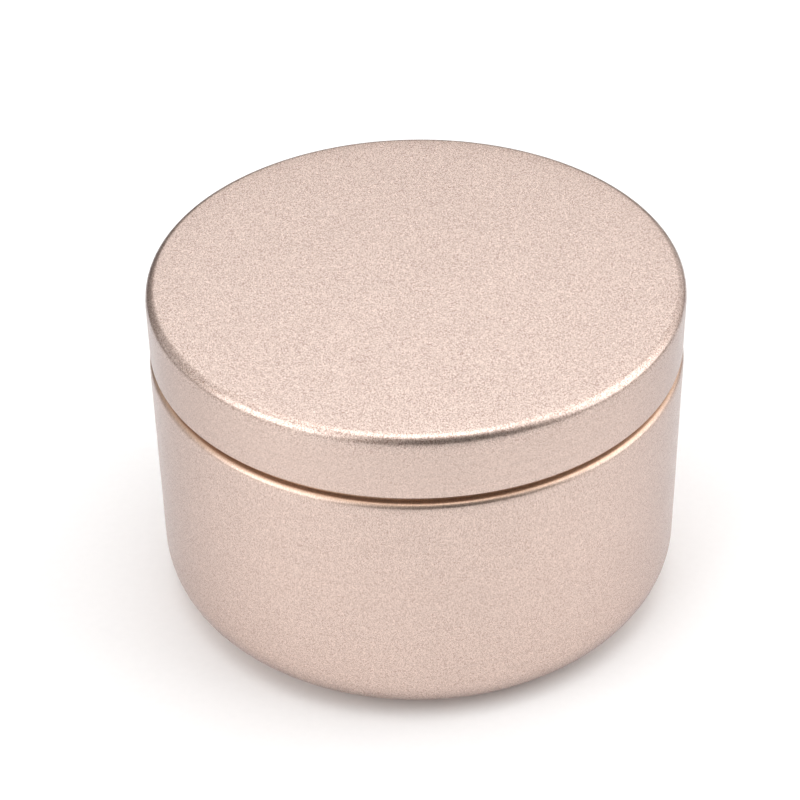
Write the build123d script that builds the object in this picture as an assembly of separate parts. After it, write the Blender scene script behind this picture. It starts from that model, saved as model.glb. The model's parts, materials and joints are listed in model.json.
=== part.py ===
from build123d import *
from math import cos, radians, sin, tan
import os

# A round two-piece slip-lid tin for poured candles: a seamless drawn body and a drawn lid.
# Both pieces are one sheet of tinplate, so each is drawn as the sheet's middle line, given
# its thickness and spun about Z. Z = 0 is the surface the tin stands on. Millimetres.

# Driving dimensions of the closed tin
LID_DIAMETER = 77.0
BODY_DIAMETER = 77.4
CLOSED_HEIGHT = 50.7
SHEET = 0.28

# Lid
LID_DEPTH = 10.15
LID_EDGE_RADIUS = 1.42
LID_ROLL_WIDTH = 1.1
LID_ROLL_HEIGHT = 1.7

# Body below the shoulder
BASE_CORNER_RADIUS = 7.5
WALL_TOP = 38.05
SHOULDER_RADIUS = 0.85
NECK_ROOT_RADIUS = 0.5
SHOULDER_SLOPE = 15

# A tight bend in a wall springs back: its last few degrees are a wide, gentle curve
LEAD_ANGLE = 10
LEAD_RADIUS = 4.5
LEAD_RUN = 0.05

# Raised middle of the base, so that the tin stands on the ring around it
PANEL_RADIUS = 26.5
PANEL_RISE = 0.6
PANEL_STEP_RUN = 1.1
PANEL_STEP_RADIUS = 0.8

# Rim of the body, rolled inwards
RIM_ROLL_WIDTH = 1.3
RIM_ROLL_HEIGHT = 2.1

# Shape of the rolls, as shares of the roll's middle-line width. The rim is round, and the
# lid's roll is pressed flatter, with a crisper outer corner
RIM_TURN = 0.49
HEM_TURN = 0.27
ROLL_INNER_TURN = 0.49
ROLL_TIP_TURN = 0.44
ROLL_TIP_REACH = 0.62

# Fits between the two pieces
NECK_CLEARANCE = 0.08
SEAT_GAP = 0.08

HALF = SHEET / 2
LID_RADIUS = LID_DIAMETER / 2
WALL_RADIUS = BODY_DIAMETER / 2
NECK_RADIUS = LID_RADIUS - LID_ROLL_WIDTH - NECK_CLEARANCE
RIM_TOP = CLOSED_HEIGHT - SHEET - SEAT_GAP
HEM_BOTTOM = CLOSED_HEIGHT - LID_DEPTH


def bend_reach(radius, angle):
    """How far a bend's ends lie from the corner that it rounds."""
    return radius * tan(radians(angle) / 2)


def lead_offset(radius, turn):
    """How far in and how far along a wall the corner of a tight bend lies from the corner of
    the gentle lead before it. Together they turn the sheet through turn degrees."""
    slant = bend_reach(LEAD_RADIUS, LEAD_ANGLE) + LEAD_RUN
    slant += bend_reach(radius, turn - LEAD_ANGLE)
    return slant * sin(radians(LEAD_ANGLE)), slant * cos(radians(LEAD_ANGLE))


def rolled_edge(wall_x, edge_z, width, height, outer_turn, up):
    """Middle line of an edge rolled inwards from a wall at wall_x, with its outermost
    point at edge_z: points and corner radii, from the wall's last corner on.
    up is 1 where the wall ends at its top, and -1 where it ends at its bottom."""
    across = width - SHEET
    inner_x = wall_x - across
    turn_z = edge_z - up * HALF
    end_z = edge_z - up * (height - HALF)
    tip_x = inner_x + across * ROLL_TIP_REACH
    points = [(wall_x, turn_z), (inner_x, turn_z), (inner_x, end_z), (tip_x, end_z)]
    radii = [across * outer_turn, across * ROLL_INNER_TURN, across * ROLL_TIP_TURN]
    return points, radii


def spun_sheet(points, radii):
    """The solid of a sheet whose middle line runs through points, with a radius at each
    inner point. The first point lies beyond the axis, and what crosses the axis is trimmed."""
    reach = CLOSED_HEIGHT * 2
    with BuildSketch(Plane.XZ) as section:
        with BuildLine():
            middle = FilletPolyline(*points, radius=radii)
            offset(middle, amount=HALF, side=Side.BOTH, kind=Kind.ARC, mode=Mode.REPLACE)
        make_face()
        with Locations((reach / 2, 0)):
            Rectangle(reach, reach * 2, mode=Mode.INTERSECT)
    return revolve(section.sketch, axis=Axis.Z)


def shoulder():
    """Middle line of the step from the wall in to the neck: three corners and their radii.
    The wall bends in over the rounded shoulder, and bends back up at the neck's root."""
    wall_x = WALL_RADIUS - HALF
    neck_x = NECK_RADIUS - HALF
    bend = SHOULDER_RADIUS - HALF
    inward, along = lead_offset(bend, 90 - SHOULDER_SLOPE)
    lead_z = WALL_TOP + bend_reach(LEAD_RADIUS, LEAD_ANGLE)
    rise = (wall_x - inward - neck_x) * tan(radians(SHOULDER_SLOPE))
    root_z = lead_z + along + rise
    points = [(wall_x, lead_z), (wall_x - inward, lead_z + along), (neck_x, root_z)]
    return points, [LEAD_RADIUS, bend, NECK_ROOT_RADIUS + HALF]


def tin_body():
    """Seamless cup: raised base panel, standing ring, rounded corner, wall, shoulder,
    neck and inward rolled rim."""
    step_x = PANEL_RADIUS + PANEL_STEP_RUN
    wall_x = WALL_RADIUS - HALF
    neck_x = NECK_RADIUS - HALF
    panel_z = PANEL_RISE + HALF
    base = [(-SHEET, panel_z), (PANEL_RADIUS, panel_z), (step_x, HALF), (wall_x, HALF)]
    base_radii = [PANEL_STEP_RADIUS, PANEL_STEP_RADIUS, BASE_CORNER_RADIUS - HALF]
    step, step_radii = shoulder()
    rim, rim_radii = rolled_edge(neck_x, RIM_TOP, RIM_ROLL_WIDTH, RIM_ROLL_HEIGHT, RIM_TURN,
                                 up=1)
    return spun_sheet(base + step + rim, base_radii + step_radii + rim_radii)


def slip_lid():
    """Flat-topped cap with a plain skirt, its lower edge rolled inwards to grip the neck."""
    skirt_x = LID_RADIUS - HALF
    top_z = CLOSED_HEIGHT - HALF
    bend = LID_EDGE_RADIUS - HALF
    inward, along = lead_offset(bend, 90)
    top = [(-SHEET, top_z), (skirt_x - inward, top_z), (skirt_x, top_z - along)]
    hem, hem_radii = rolled_edge(skirt_x, HEM_BOTTOM, LID_ROLL_WIDTH, LID_ROLL_HEIGHT,
                                 HEM_TURN, up=-1)
    return spun_sheet(top + hem, [bend, LEAD_RADIUS] + hem_radii)


os.makedirs("parts", exist_ok=True)
export_step(tin_body(), "parts/tin_body.step")
export_step(slip_lid(), "parts/slip_lid.step")
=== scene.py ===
import json
from math import atan2, ceil, cos, pi, radians, sin, tan

import bpy
from mathutils import Matrix, Vector, noise


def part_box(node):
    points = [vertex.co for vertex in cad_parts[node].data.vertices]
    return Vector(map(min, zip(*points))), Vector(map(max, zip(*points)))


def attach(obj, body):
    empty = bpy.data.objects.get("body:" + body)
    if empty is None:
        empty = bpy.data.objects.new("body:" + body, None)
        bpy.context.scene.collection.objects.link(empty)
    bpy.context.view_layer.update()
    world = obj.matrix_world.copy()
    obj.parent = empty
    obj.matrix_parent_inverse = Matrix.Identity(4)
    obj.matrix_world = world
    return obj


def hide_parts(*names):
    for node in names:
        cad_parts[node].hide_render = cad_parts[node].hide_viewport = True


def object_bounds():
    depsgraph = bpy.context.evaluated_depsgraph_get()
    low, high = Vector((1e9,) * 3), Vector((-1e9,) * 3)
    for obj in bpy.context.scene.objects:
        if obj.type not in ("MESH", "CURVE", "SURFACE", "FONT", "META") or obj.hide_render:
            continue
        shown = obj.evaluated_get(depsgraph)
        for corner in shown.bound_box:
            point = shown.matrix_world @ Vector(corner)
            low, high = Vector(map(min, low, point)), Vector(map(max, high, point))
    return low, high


# A round slip-lid candle tin: a seamless drawn body and a drawn lid, both of coated
# tinplate. Each visible piece is one closed mesh, its sheet's middle line given a thickness
# and spun about Z. Metres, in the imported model's frame.

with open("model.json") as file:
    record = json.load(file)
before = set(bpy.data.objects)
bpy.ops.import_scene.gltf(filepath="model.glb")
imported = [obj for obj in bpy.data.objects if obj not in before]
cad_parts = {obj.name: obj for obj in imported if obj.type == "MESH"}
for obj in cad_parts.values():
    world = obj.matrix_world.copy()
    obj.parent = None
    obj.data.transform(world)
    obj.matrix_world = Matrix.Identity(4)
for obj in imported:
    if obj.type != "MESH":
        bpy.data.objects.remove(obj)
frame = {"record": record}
cad_low, cad_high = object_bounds()
lid_low, lid_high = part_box("slip_lid")
body_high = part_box("tin_body")[1]
mounts = {mount["name"]: mount for mount in frame["record"]["mounts"]}

# Outer sizes of both pieces, from the frame
LID_RADIUS = lid_high.x
WALL_RADIUS = body_high.x
CLOSED_HEIGHT = lid_high.z
HEM_BOTTOM = lid_low.z
RIM_TOP = body_high.z
MOUTH_RADIUS = mounts["mouth"]["dims"]["r_mm"] / 1000

# The sheet and its bends
SHEET = 0.00028
HALF = SHEET / 2
LID_EDGE_RADIUS = 0.00142
LID_ROLL_WIDTH = 0.0011
LID_ROLL_HEIGHT = 0.0017
NECK_CLEARANCE = 0.00008
NECK_RADIUS = LID_RADIUS - LID_ROLL_WIDTH - NECK_CLEARANCE
RIM_ROLL_WIDTH = NECK_RADIUS - MOUTH_RADIUS
RIM_ROLL_HEIGHT = 0.0021
BASE_CORNER_RADIUS = 0.0075
WALL_TOP = 0.03805
SHOULDER_RADIUS = 0.00085
SHOULDER_SLOPE = radians(15)
NECK_ROOT_RADIUS = 0.0005
LEAD_ANGLE = radians(10)
LEAD_RADIUS = 0.0045
LEAD_RUN = 0.00005
PANEL_RADIUS = 0.0265
PANEL_RISE = 0.0006
PANEL_STEP_RUN = 0.0011
PANEL_STEP_RADIUS = 0.0008
RIM_TURN = 0.49
HEM_TURN = 0.27
ROLL_INNER_TURN = 0.49
ROLL_TIP_TURN = 0.44
ROLL_TIP_REACH = 0.62

# Mesh fineness
SIDES = 256
ON_AXIS = 1e-9
ARC_STEP = radians(8)
ARC_STEPS_LEAST = 4
LINE_STEP = 0.003
TIP_STEPS = 4

# The most that the sheet is off its true form, and how: wide and narrow waves to the metre
UNEVEN = 0.00004
WIDE_WAVES = 45
NARROW_WAVES = 160
WIDE_SHARE = 0.7

# The bend radius that counts as tight
TIGHT_RADIUS = 0.0012

# Mesh material slots
COATED = 0
BARE = 1

# Coat: a rose gold lacquer full of flakes, from dark to bright, under a clear pearl coat
FLAKE_DARK = (0.32, 0.18, 0.133)
FLAKE_BRIGHT = (0.995, 0.82, 0.725)
# Painted light in the step under the lid: on the ledge, an amber painted reflection of the gold
# round it, dimmed by painted shade; on the neck and under the lid's hem, a dark painted shade
LEDGE_SHADE_DARK = (0.52, 0.335, 0.23)
LEDGE_SHADE_BRIGHT = (0.88, 0.62, 0.46)
NECK_SHADE_DARK = (0.27, 0.175, 0.118)
NECK_SHADE_BRIGHT = (0.70, 0.475, 0.34)
GRAZING_TINT = (0.22, 0.18, 0.20, 1.0)
COAT_ROUGHNESS = 0.47
ROUGHNESS_SPREAD = 0.04
RUBBED_ROUGHNESS = -0.06
PEARL_WEIGHT = 0.85
PEARL_LEDGE = 0.25
PEARL_NECK = 0.35
PEARL_IOR = 1.8
PEARL_ROUGHNESS = 0.22

# Patterns of the coat: features to the metre, heights in metres, and how much each shows
FLAKE_SCALE = 11500
FLAKE_HEIGHT = 0.000007
CLUMP_SCALE = FLAKE_SCALE / 6
CLUMP_CONTRAST = 0.02
CLOUD_SCALE = 120
CLOUD_CONTRAST = 0.015
PEEL_SCALE = 900
PEEL_HEIGHT = 0.000003
LINE_SCALE = 2600
LINE_CONTRAST = 0.12
WANDER_SCALE = 25
WANDER = 0.002

# How much of the flakes' contrast ironing leaves, and how far the body's wall is ironed
IRONED_CONTRAST = 0.45
BODY_IRONED = 0.7

# Where the painted shade and the thinning of the pearl coat start and end over the shoulder, as
# shares of its radius
PEARL_THINS = 0.15
PEARL_THIN = 0.7

# Inside: tinplate between two greys. Its patterns are stretched along the mill's direction
TIN_DARK = (0.71, 0.70, 0.675)
TIN_BRIGHT = (0.74, 0.735, 0.72)
TIN_ROUGHNESS = (0.25, 0.32)
LACQUER_WEIGHT = 0.25
LACQUER_ROUGHNESS = 0.12
MILL_SCALE = 5000
MILL_STRETCH = (0.03, 1.0, 1.0)
MILL_HEIGHT = 0.0000005
STREAK_SCALE = 700
STREAK_STRETCH = (0.02, 1.0, 1.0)
STREAK_CONTRAST = 0.06
BLOOM_SCALE = 90

# Paper floor: two whites, its tooth, and how far it reaches from the tin's middle
PAPER_DARK = (0.906, 0.906, 0.906)
PAPER_BRIGHT = (0.92, 0.92, 0.92)
PAPER_ROUGHNESS = 0.9
TOOTH_SCALE = 900
TOOTH_HEIGHT = 0.00002
FLOOR_SIDE = 0.15
FLOOR_BACK = 0.5
FLOOR_FRONT = 0.19

# Room: its brightness rises with the height of the direction looked in, and falls to nothing
# towards the front. Directions are unit vectors
SKY_START = 0.35
SKY_END = 0.75
SKY_LOW = 0.05
SKY_HIGH = 0.85
FRONT_END = -0.65
BACK_START = -0.15

# Lights: name, azimuth, elevation, (width, height) and radiance. All are this far away. A
# square metre of lamp needs this many watts for a radiance of 1
STUDIO_RADIUS = 0.9
LIGHT_FACTOR = pi
SOFTBOXES = [
    ("left_softbox", -55, 22, (0.8, 0.8), 2.7),
    ("right_softbox", 86, 26, (0.8, 0.9), 2.15),
    ("top_softbox", 0, 86, (0.9, 0.9), 1.15),
    ("front_softbox", 0, 79, (0.5, 0.3), 1.4),
    ("back_softbox", 180, 43, (0.6, 0.4), 1.15),
    ("right_fill", 135, 22, (0.6, 0.6), 0.65),
    ("left_fill", -115, 20, (0.5, 0.6), 0.3),
    ("right_low", 90, 4, (0.95, 0.3), 0.9),
    ("left_low", -90, 4, (0.95, 0.3), 0.55),
]

# Camera, in metres and degrees, and millimetres of lens
CAMERA_DISTANCE = 8.934 * LID_RADIUS
CAMERA_ELEVATION = 37.15
CAMERA_ROLL = -0.746
LENS = 103.95
SHIFT = (-0.0219, 0.0191)


# ---------------------------------------------------------------- meshes

def bend(before, corner, after, radius):
    """Points and headings of the arc that rounds a corner of a path in the (r, z) plane."""
    heading_in = (corner - before).normalized()
    heading_out = (after - corner).normalized()
    turn = atan2(heading_in.x * heading_out.y - heading_in.y * heading_out.x,
                 heading_in.dot(heading_out))
    start = corner - heading_in * radius * tan(abs(turn) / 2)
    side = 1 if turn > 0 else -1
    centre = start + Vector((-heading_in.y, heading_in.x)) * radius * side
    steps = max(ARC_STEPS_LEAST, ceil(abs(turn) / ARC_STEP))
    arc = []
    for step in range(steps + 1):
        spin = Matrix.Rotation(turn * step / steps, 2)
        arc.append((centre + spin @ (start - centre), spin @ heading_in))
    return arc


def straight(start, end, heading):
    """Points between two points of a path, without the ends."""
    steps = max(1, ceil((end - start).length / LINE_STEP))
    return [(start.lerp(end, step / steps), heading) for step in range(1, steps)]


def middle_line(corners, radii):
    """(point, heading) all along a path whose inner corners are rounded."""
    corners = [Vector(corner) for corner in corners]
    first_heading = (corners[1] - corners[0]).normalized()
    path = [(corners[0], first_heading)]
    for before, corner, after, radius in zip(corners, corners[1:], corners[2:], radii):
        arc = bend(before, corner, after, radius)
        path += straight(path[-1][0], arc[0][0], arc[0][1]) + arc
    last_heading = path[-1][1]
    path += straight(path[-1][0], corners[-1], last_heading)
    path.append((corners[-1], last_heading))
    return path


def lead_offset(radius, turn):
    """How far in and how far along a wall the corner of a tight bend lies from the corner of
    the gentle lead before it. Together they turn the sheet through turn."""
    slant = LEAD_RADIUS * tan(LEAD_ANGLE / 2) + LEAD_RUN + radius * tan((turn - LEAD_ANGLE) / 2)
    return slant * sin(LEAD_ANGLE), slant * cos(LEAD_ANGLE)


def rolled_edge(wall_r, edge_z, width, height, outer_turn, up):
    """Corners and radii of a sheet edge rolled inwards from a wall. up is 1 at a wall's top
    and -1 at its bottom."""
    across = width - SHEET
    inner_r = wall_r - across
    turn_z = edge_z - up * HALF
    end_z = edge_z - up * (height - HALF)
    corners = [(wall_r, turn_z), (inner_r, turn_z), (inner_r, end_z)]
    corners.append((inner_r + across * ROLL_TIP_REACH, end_z))
    return corners, [across * outer_turn, across * ROLL_INNER_TURN, across * ROLL_TIP_TURN]


def body_line():
    """Middle line of the body's sheet, from the middle of its base to the rim's tip."""
    wall_r = WALL_RADIUS - HALF
    neck_r = NECK_RADIUS - HALF
    panel_z = PANEL_RISE + HALF
    shoulder_bend = SHOULDER_RADIUS - HALF
    base = [(0, panel_z), (PANEL_RADIUS, panel_z), (PANEL_RADIUS + PANEL_STEP_RUN, HALF),
            (wall_r, HALF)]
    base_radii = [PANEL_STEP_RADIUS, PANEL_STEP_RADIUS, BASE_CORNER_RADIUS - HALF]
    inward, along = lead_offset(shoulder_bend, pi / 2 - SHOULDER_SLOPE)
    lead_z = WALL_TOP + LEAD_RADIUS * tan(LEAD_ANGLE / 2)
    root_z = lead_z + along + (wall_r - inward - neck_r) * tan(SHOULDER_SLOPE)
    step = [(wall_r, lead_z), (wall_r - inward, lead_z + along), (neck_r, root_z)]
    step_radii = [LEAD_RADIUS, shoulder_bend, NECK_ROOT_RADIUS + HALF]
    rim, rim_radii = rolled_edge(neck_r, RIM_TOP, RIM_ROLL_WIDTH, RIM_ROLL_HEIGHT, RIM_TURN, up=1)
    return middle_line(base + step + rim, base_radii + step_radii + rim_radii)


def lid_line():
    """Middle line of the lid's sheet, from the middle of its top to the hem's tip."""
    skirt_r = LID_RADIUS - HALF
    top_z = CLOSED_HEIGHT - HALF
    edge_bend = LID_EDGE_RADIUS - HALF
    inward, along = lead_offset(edge_bend, pi / 2)
    top = [(0, top_z), (skirt_r - inward, top_z), (skirt_r, top_z - along)]
    hem, hem_radii = rolled_edge(skirt_r, HEM_BOTTOM, LID_ROLL_WIDTH, LID_ROLL_HEIGHT, HEM_TURN,
                                 up=-1)
    return middle_line(top + hem, [edge_bend, LEAD_RADIUS] + hem_radii)


def sheet_section(path, coated_side):
    """Closed section of a sheet, out from the axis along the side that faces down there and
    back along the other: [(point, place on the middle line, normal there, number of that
    place, is coated)]. coated_side is 1 where the coating is left of the path's heading, and
    -1 right of it."""
    coated, bare = [], []
    for number, (point, heading) in enumerate(path):
        normal = Vector((-heading.y, heading.x)) * coated_side
        coated.append((point + normal * HALF, point, normal, number, True))
        bare.append((point - normal * HALF, point, normal, number, False))
    tip, heading = path[-1]
    last = len(path) - 1
    cut_edge = []
    for step in range(1, TIP_STEPS):
        angle = pi * step / TIP_STEPS
        normal = Vector((-heading.y, heading.x)) * coated_side
        point = tip + (normal * cos(angle) + heading * sin(angle)) * HALF
        cut_edge.append((point, tip, normal, last, False))
    section = coated + cut_edge + bare[::-1]
    return section if coated_side < 0 else section[::-1]


def blank_radii(path):
    """How far from the middle of the flat blank each place of a pressed piece came from.
    Pressing keeps the sheet's thickness, so the blank has the same area inside that place."""
    radii = [0.0]
    twice_area = 0.0
    for (before, _), (after, _) in zip(path, path[1:]):
        twice_area += (before.x + after.x) * (after - before).length
        radii.append(twice_area ** 0.5)
    return radii


def tightness(path):
    """How sharply the sheet is bent at each place, from 0, flat, to 1, a radius of a few
    thicknesses or less."""
    bends = []
    for number, (point, heading) in enumerate(path):
        before, before_heading = path[max(0, number - 1)]
        after, after_heading = path[min(len(path) - 1, number + 1)]
        run = max((after - point).length + (point - before).length, SHEET / 10)
        turn = after_heading.angle(before_heading, 0.0)
        bends.append(min(1.0, turn / run * TIGHT_RADIUS))
    return bends


def unevenness(place, angle, amount):
    """How far the sheet is off its true form here, along its normal. Pressed tinplate is
    never quite flat or round; amount(r, z) is the most that it may be off."""
    most = amount(place.x, place.y)
    if not most:
        return 0.0
    spot = Vector((place.x * cos(angle), place.x * sin(angle), place.y))
    wide = noise.noise(spot * WIDE_WAVES)
    narrow = noise.noise(spot * NARROW_WAVES)
    return most * (WIDE_SHARE * wide + (1 - WIDE_SHARE) * narrow)


def spun_piece(name, path, coated_side, amount, ironing, shade_mask):
    """A closed mesh: the sheet's section spun about Z, with one point where it meets the axis.
    Each point carries its place on the flat blank, how sharply it is bent, how far the die has
    ironed the coat smooth, from ironing(r, z), and, from the last function given, how far shade
    is painted into its colour in the step under the lid, where the pearl coat is also thin."""
    section = sheet_section(path, coated_side)
    radii = blank_radii(path)
    bends = tightness(path)
    verts, blank, rings = [], [], []
    shares = {"bent": [], "ironed": [], "painted_shade": []}
    for point, place, normal, number, _ in section:
        ring = []
        for side in range(1 if place.x < ON_AXIS else SIDES):
            angle = 2 * pi * side / SIDES
            r, z = point + normal * unevenness(place, angle, amount)
            ring.append(len(verts))
            verts.append((r * cos(angle), r * sin(angle), z))
            blank += [radii[number] * cos(angle), radii[number] * sin(angle), 0.0]
            shares["bent"].append(bends[number])
            shares["ironed"].append(ironing(place.x, place.y))
            shares["painted_shade"].append(shade_mask(place.x, place.y))
        rings.append(ring)
    faces, slots = [], []
    coats = [coated for *_, coated in section]
    for low, high, low_coated, high_coated in zip(rings, rings[1:], coats, coats[1:]):
        for side in range(SIDES):
            after = (side + 1) % SIDES
            corners = [low[side % len(low)], low[after % len(low)],
                       high[after % len(high)], high[side % len(high)]]
            faces.append(list(dict.fromkeys(corners)))
            slots.append(COATED if low_coated and high_coated else BARE)
    mesh = bpy.data.meshes.new(name)
    mesh.from_pydata(verts, [], faces)
    mesh.polygons.foreach_set("material_index", slots)
    mesh.polygons.foreach_set("use_smooth", [True] * len(faces))
    mesh.attributes.new("blank", "FLOAT_VECTOR", "POINT").data.foreach_set("vector", blank)
    for share, values in shares.items():
        mesh.attributes.new(share, "FLOAT", "POINT").data.foreach_set("value", values)
    mesh.update()
    piece = bpy.data.objects.new(name, mesh)
    bpy.context.scene.collection.objects.link(piece)
    return piece


def fade(value, low, high):
    """0 at low, 1 at high, and smooth between them."""
    share = min(1.0, max(0.0, (value - low) / (high - low)))
    return share * share * (3 - 2 * share)


def body_amount(r, z):
    """The wall may be a little out of round, away from its base corner and its shoulder, and
    the raised middle of the base a little out of flat."""
    on_wall = fade(z, BASE_CORNER_RADIUS, 2 * BASE_CORNER_RADIUS)
    on_wall *= fade(z, WALL_TOP, WALL_TOP - BASE_CORNER_RADIUS)
    on_panel = fade(r, PANEL_RADIUS, PANEL_RADIUS / 2) if z < SHEET + PANEL_RISE else 0.0
    return UNEVEN * max(on_wall, on_panel)


def lid_amount(r, z):
    """The top may be a little out of flat, away from the rim that it sits on."""
    return UNEVEN * fade(r, MOUTH_RADIUS, MOUTH_RADIUS / 2)


def body_ironing(r, z):
    """The die irons the wall and all above it, and leaves the base as it was."""
    return BODY_IRONED * fade(z, 0, BASE_CORNER_RADIUS)


def lid_ironing(r, z):
    """The die irons the skirt hard, and leaves the top as it was."""
    return fade(CLOSED_HEIGHT - z, LID_EDGE_RADIUS / 2, 2 * LID_EDGE_RADIUS)


def body_painted_shade(r, z):
    """How far shade is painted into the coat: 0.5 on the ledge at the top of the wall, painted
    amber, and 1 on the neck above it, painted dark.
    """
    inward = WALL_RADIUS - r
    depth = WALL_RADIUS - NECK_RADIUS
    on_ledge = fade(inward, SHOULDER_RADIUS * PEARL_THINS, SHOULDER_RADIUS * PEARL_THIN)
    on_neck = fade(inward, (SHOULDER_RADIUS + depth) / 2, depth)
    return (on_ledge + on_neck) / 2 if z > WALL_TOP else 0.0


def lid_painted_shade(r, z):
    """1 on the underside of the skirt's rolled edge, where dark shade is painted into the coat.
    """
    return fade(LID_RADIUS - r, SHEET, 2 * SHEET) if z < HEM_BOTTOM + SHEET else 0.0


# ---------------------------------------------------------------- materials

class Graph:
    """Short forms for making the nodes of a material or a world, and joining them."""

    def __init__(self, owner):
        self.owner = owner
        owner.use_nodes = True
        self.tree = owner.node_tree
        self.tree.nodes.clear()

    def add(self, kind, inputs=None, **settings):
        """A node of that kind. A value in inputs is either a number or another's output."""
        node = self.tree.nodes.new("ShaderNode" + kind)
        for key, value in settings.items():
            setattr(node, key, value)
        for key, value in (inputs or {}).items():
            if isinstance(value, bpy.types.NodeSocket):
                self.tree.links.new(value, node.inputs[key])
            else:
                node.inputs[key].default_value = value
        return node

    def sum(self, a, b):
        return self.add("Math", {0: a, 1: b}, operation="ADD").outputs[0]

    def product(self, a, b):
        return self.add("Math", {0: a, 1: b}, operation="MULTIPLY").outputs[0]

    def flakes(self, place, scale):
        """A value from 0 to 1 that is one value all over each flake of a packed layer."""
        inputs = {"Vector": place, "Scale": scale}
        cells = self.add("TexVoronoi", inputs, feature="F1").outputs["Color"]
        return self.add("SeparateXYZ", {0: cells}).outputs["X"]

    def noise(self, place, scale, detail=2.0):
        """Noise around 0.5, mostly from 0.3 to 0.7, with scale features to the metre."""
        inputs = {"Vector": place, "Scale": scale, "Detail": detail}
        return self.add("TexNoise", inputs).outputs["Fac"]

    def spread(self, value, low, high, to_low, to_high, kind="LINEAR"):
        """value taken from the range low..high to the range to_low..to_high, and kept in it."""
        inputs = {0: value, 1: low, 2: high, 3: to_low, 4: to_high}
        return self.add("MapRange", inputs, interpolation_type=kind).outputs[0]

    def around(self, value, middle, reach):
        """Noise taken to the range middle - reach..middle + reach."""
        return self.spread(value, 0.25, 0.75, middle - reach, middle + reach)

    def stretch(self, vector, scale):
        inputs = {0: vector, 1: scale}
        return self.add("VectorMath", inputs, operation="MULTIPLY").outputs["Vector"]

    def shades(self, value, stops):
        """A colour for each value, through stops of (value, colour)."""
        ramp = self.add("ValToRGB", {"Fac": value})
        elements = ramp.color_ramp.elements
        while len(elements) < len(stops):
            elements.new(1.0)
        for element, (position, colour) in zip(elements, stops):
            element.position = position
            element.color = (*colour, 1.0)
        return ramp.outputs["Color"]

    def mixed(self, share, colour, other):
        """colour where share is 0, and other where it is 1. A Mix node has sockets for every
        kind of value under the same names: its colours are numbers 6 and 7 in, and 2 out."""
        inputs = {0: share, 6: colour, 7: other}
        return self.add("Mix", inputs, data_type="RGBA").outputs[2]

    def scaled(self, colour, factor):
        """A colour times a number."""
        inputs = {0: colour, "Scale": factor}
        return self.add("VectorMath", inputs, operation="SCALE").outputs["Vector"]

    def attribute(self, name, output):
        return self.add("Attribute", attribute_name=name).outputs[output]

    def bump(self, height, distance, normal=None):
        inputs = {"Height": height, "Distance": distance, "Strength": 1.0}
        if normal is not None:
            inputs["Normal"] = normal
        return self.add("Bump", inputs).outputs["Normal"]

    def finish(self, inputs):
        """The material, with a shader made from inputs."""
        shader = self.add("BsdfPrincipled", inputs)
        self.add("OutputMaterial", {"Surface": shader.outputs["BSDF"]})
        return self.owner


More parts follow.
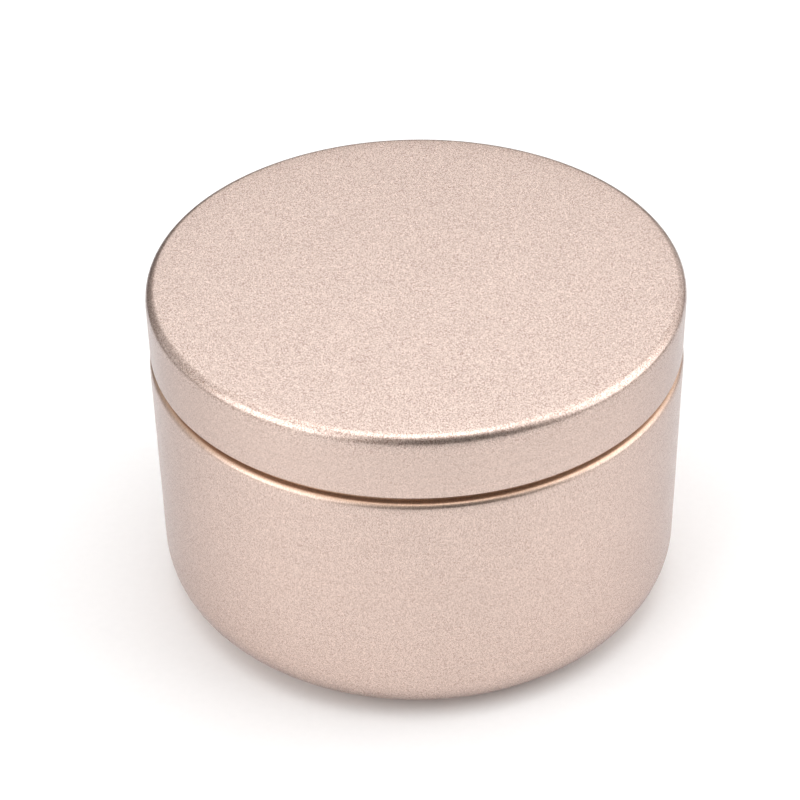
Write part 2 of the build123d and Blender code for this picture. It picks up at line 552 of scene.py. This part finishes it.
def frosted_coat():
    """The outside: a gold lacquer full of metal flakes under a glossier pearl coat, put on
    the flat blank before the piece is pressed. Pressing squeezes the grain of the flakes
    round the walls and draws it out up them, because it lies where the blank's metal went.
    The die irons it smoother, and leaves faint lines round the walls. The pearl coat is thin on
    the ledge under the lid and on the neck, and shade is painted into the colour there: an amber
    painted reflection on the ledge, and a dark painted shade on the neck and under the lid's hem."""
    graph = Graph(bpy.data.materials.new("frosted_gold_coat"))
    blank = graph.attribute("blank", "Vector")
    bent = graph.attribute("bent", "Fac")
    ironed = graph.attribute("ironed", "Fac")
    painted_shade = graph.attribute("painted_shade", "Fac")
    # Masks of the painted shade: the amber painted reflection on the ledge, and the dark painted
    # shade on the neck and under the lid's hem
    ledge_shade = graph.spread(painted_shade, 0.0, 0.5, 0.0, 1.0)
    neck_shade = graph.spread(painted_shade, 0.5, 1.0, 0.0, 1.0)
    clumps = graph.noise(blank, CLUMP_SCALE)
    cloud = graph.noise(blank, CLOUD_SCALE, detail=3.0)

    kept = graph.spread(ironed, 0.0, 1.0, 1.0, IRONED_CONTRAST)
    value = graph.sum(graph.flakes(blank, FLAKE_SCALE), -0.5)
    value = graph.sum(graph.product(value, kept), 0.5)
    coat = graph.shades(value, [(0.0, FLAKE_DARK), (1.0, FLAKE_BRIGHT)])
    # Colours of the painted shade on the ledge and on the neck, mixed in over the coat's own
    # colour
    ledge = graph.shades(value, [(0.0, LEDGE_SHADE_DARK), (1.0, LEDGE_SHADE_BRIGHT)])
    neck = graph.shades(value, [(0.0, NECK_SHADE_DARK), (1.0, NECK_SHADE_BRIGHT)])
    colour = graph.mixed(neck_shade, graph.mixed(ledge_shade, coat, ledge), neck)

    run = graph.add("VectorMath", {0: blank}, operation="LENGTH").outputs["Value"]
    wander = graph.product(graph.noise(blank, WANDER_SCALE, detail=1.0), WANDER)
    ring = graph.add("CombineXYZ", {0: run, 1: wander}).outputs[0]
    lines = graph.product(graph.sum(graph.noise(ring, LINE_SCALE), -0.5), ironed)
    patch = graph.around(clumps, 1.0, CLUMP_CONTRAST)
    haze = graph.spread(cloud, 0.3, 0.7, 1.0 - CLOUD_CONTRAST, 1.0 + CLOUD_CONTRAST)
    tone = graph.sum(graph.product(patch, haze), graph.product(lines, LINE_CONTRAST))

    rough = graph.around(clumps, COAT_ROUGHNESS, ROUGHNESS_SPREAD)
    rubbed = graph.spread(graph.product(bent, cloud), 0.2, 0.8, 0.0, RUBBED_ROUGHNESS)
    pearl = graph.spread(ledge_shade, 0.0, 1.0, PEARL_WEIGHT, PEARL_LEDGE)
    pearl = graph.sum(pearl, graph.product(neck_shade, PEARL_NECK - PEARL_LEDGE))

    peel = graph.bump(graph.noise(blank, PEEL_SCALE), PEEL_HEIGHT)
    grain = graph.noise(blank, FLAKE_SCALE, detail=1.0)
    normal = graph.bump(grain, FLAKE_HEIGHT, normal=peel)
    return graph.finish({
        "Base Color": graph.scaled(colour, tone),
        "Metallic": 1.0,
        "Roughness": graph.sum(rough, rubbed),
        "Specular Tint": GRAZING_TINT,
        "Normal": normal,
        "Coat Weight": pearl,
        "Coat IOR": PEARL_IOR,
        "Coat Roughness": PEARL_ROUGHNESS,
        "Coat Normal": normal,
    })


def bare_tinplate():
    """The inside: bright tinplate under clear lacquer. The rolling mill leaves fine lines
    one way across the blank, and they run up the walls with its metal."""
    graph = Graph(bpy.data.materials.new("lacquered_tinplate"))
    blank = graph.attribute("blank", "Vector")
    lines = graph.noise(graph.stretch(blank, MILL_STRETCH), MILL_SCALE, detail=3.0)
    streaks = graph.noise(graph.stretch(blank, STREAK_STRETCH), STREAK_SCALE, detail=3.0)
    bloom = graph.noise(blank, BLOOM_SCALE, detail=1.0)

    tone = graph.spread(graph.sum(lines, streaks), 0.6, 1.4, 1.0 - STREAK_CONTRAST,
                        1.0 + STREAK_CONTRAST)
    colour = graph.shades(bloom, [(0.3, TIN_DARK), (0.7, TIN_BRIGHT)])
    return graph.finish({
        "Base Color": graph.scaled(colour, tone),
        "Metallic": 1.0,
        "Roughness": graph.spread(graph.sum(streaks, bloom), 0.6, 1.4, *TIN_ROUGHNESS),
        "Normal": graph.bump(lines, MILL_HEIGHT),
        "Coat Weight": LACQUER_WEIGHT,
        "Coat Roughness": LACQUER_ROUGHNESS,
    })


def studio_paper():
    """Smooth white paper with a faint tooth."""
    graph = Graph(bpy.data.materials.new("white_paper"))
    place = graph.add("TexCoord").outputs["Object"]
    tooth = graph.noise(place, TOOTH_SCALE, detail=3.0)
    return graph.finish({
        "Base Color": graph.shades(tooth, [(0.3, PAPER_DARK), (0.7, PAPER_BRIGHT)]),
        "Roughness": PAPER_ROUGHNESS,
        "Normal": graph.bump(tooth, TOOTH_HEIGHT),
    })


# ---------------------------------------------------------------- studio

def toward(azimuth, elevation):
    """Unit vector at an azimuth from the front, positive to the right, and an elevation."""
    across = cos(radians(elevation))
    return Vector((sin(radians(azimuth)) * across, -cos(radians(azimuth)) * across,
                   sin(radians(elevation))))


def softbox(name, azimuth, elevation, size, radiance):
    """An area light that faces the object from that direction. size is (width, height)."""
    light = bpy.data.lights.new(name, "AREA")
    light.shape = "RECTANGLE"
    light.size, light.size_y = size
    light.energy = radiance * size[0] * size[1] * LIGHT_FACTOR
    lamp = bpy.data.objects.new(name, light)
    direction = toward(azimuth, elevation)
    lamp.location = direction * STUDIO_RADIUS
    lamp.rotation_euler = direction.to_track_quat("Z", "Y").to_euler()
    lamp.visible_camera = False
    bpy.context.scene.collection.objects.link(lamp)


def surroundings():
    """The room round the tin: a dim wall low down behind it and beside it, nothing in front,
    and a ceiling. The camera sees it all as white paper."""
    graph = Graph(bpy.data.worlds.new("studio"))
    way = graph.add("TexCoord").outputs["Generated"]
    split = graph.add("SeparateXYZ", {0: way})
    height = graph.spread(split.outputs["Z"], SKY_START, SKY_END, SKY_LOW, SKY_HIGH,
                          kind="SMOOTHSTEP")
    depth = graph.spread(split.outputs["Y"], FRONT_END, BACK_START, 0.0, 1.0,
                         kind="SMOOTHSTEP")
    white = (1.0, 1.0, 1.0, 1.0)
    level = graph.product(height, depth)
    room = graph.add("Background", {"Color": white, "Strength": level}).outputs[0]
    paper = graph.add("Background", {"Color": white}).outputs[0]
    seen = graph.add("LightPath").outputs["Is Camera Ray"]
    shown = graph.add("MixShader", {0: seen, 1: room, 2: paper}).outputs[0]
    graph.add("OutputWorld", {"Surface": shown})
    bpy.context.scene.world = graph.owner


def paper_floor():
    """A strip of paper under the tin. It ends a short way in front of the tin and beside it."""
    corners = [(-FLOOR_SIDE, -FLOOR_FRONT, 0), (FLOOR_SIDE, -FLOOR_FRONT, 0),
               (FLOOR_SIDE, FLOOR_BACK, 0), (-FLOOR_SIDE, FLOOR_BACK, 0)]
    mesh = bpy.data.meshes.new("floor")
    mesh.from_pydata(corners, [], [range(4)])
    floor = bpy.data.objects.new("floor", mesh)
    floor.location.z = cad_low.z
    mesh.materials.append(studio_paper())
    bpy.context.scene.collection.objects.link(floor)


def camera():
    """Looks down on the middle of the tin from the front."""
    aim = Vector((0, 0, CLOSED_HEIGHT / 2))
    view = bpy.data.cameras.new("camera")
    view.sensor_width = 36
    view.lens = LENS
    view.shift_x, view.shift_y = SHIFT
    view.clip_start = 0.01
    eye = bpy.data.objects.new("camera", view)
    away = toward(0, CAMERA_ELEVATION)
    tilt = Matrix.Rotation(radians(CAMERA_ROLL), 3, "Z")
    turn = away.to_track_quat("Z", "Y").to_matrix() @ tilt
    eye.matrix_world = Matrix.LocRotScale(aim + away * CAMERA_DISTANCE, turn, None)
    bpy.context.scene.collection.objects.link(eye)
    bpy.context.scene.camera = eye


bpy.context.scene.view_settings.view_transform = "Standard"
surroundings()
paper_floor()
for light in SOFTBOXES:
    softbox(*light)
camera()

coat = frosted_coat()
tinplate = bare_tinplate()
body = spun_piece("body_shell", body_line(), -1, body_amount, body_ironing, body_painted_shade)
lid = spun_piece("lid_shell", lid_line(), 1, lid_amount, lid_ironing, lid_painted_shade)
for piece, node, body_name, finish in ((body, "tin_body", "tin", "body_coat"),
                                       (lid, "slip_lid", "lid", "lid_coat")):
    piece.data.materials.append(coat)
    piece.data.materials.append(tinplate)
    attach(piece, body_name)
    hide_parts(node)
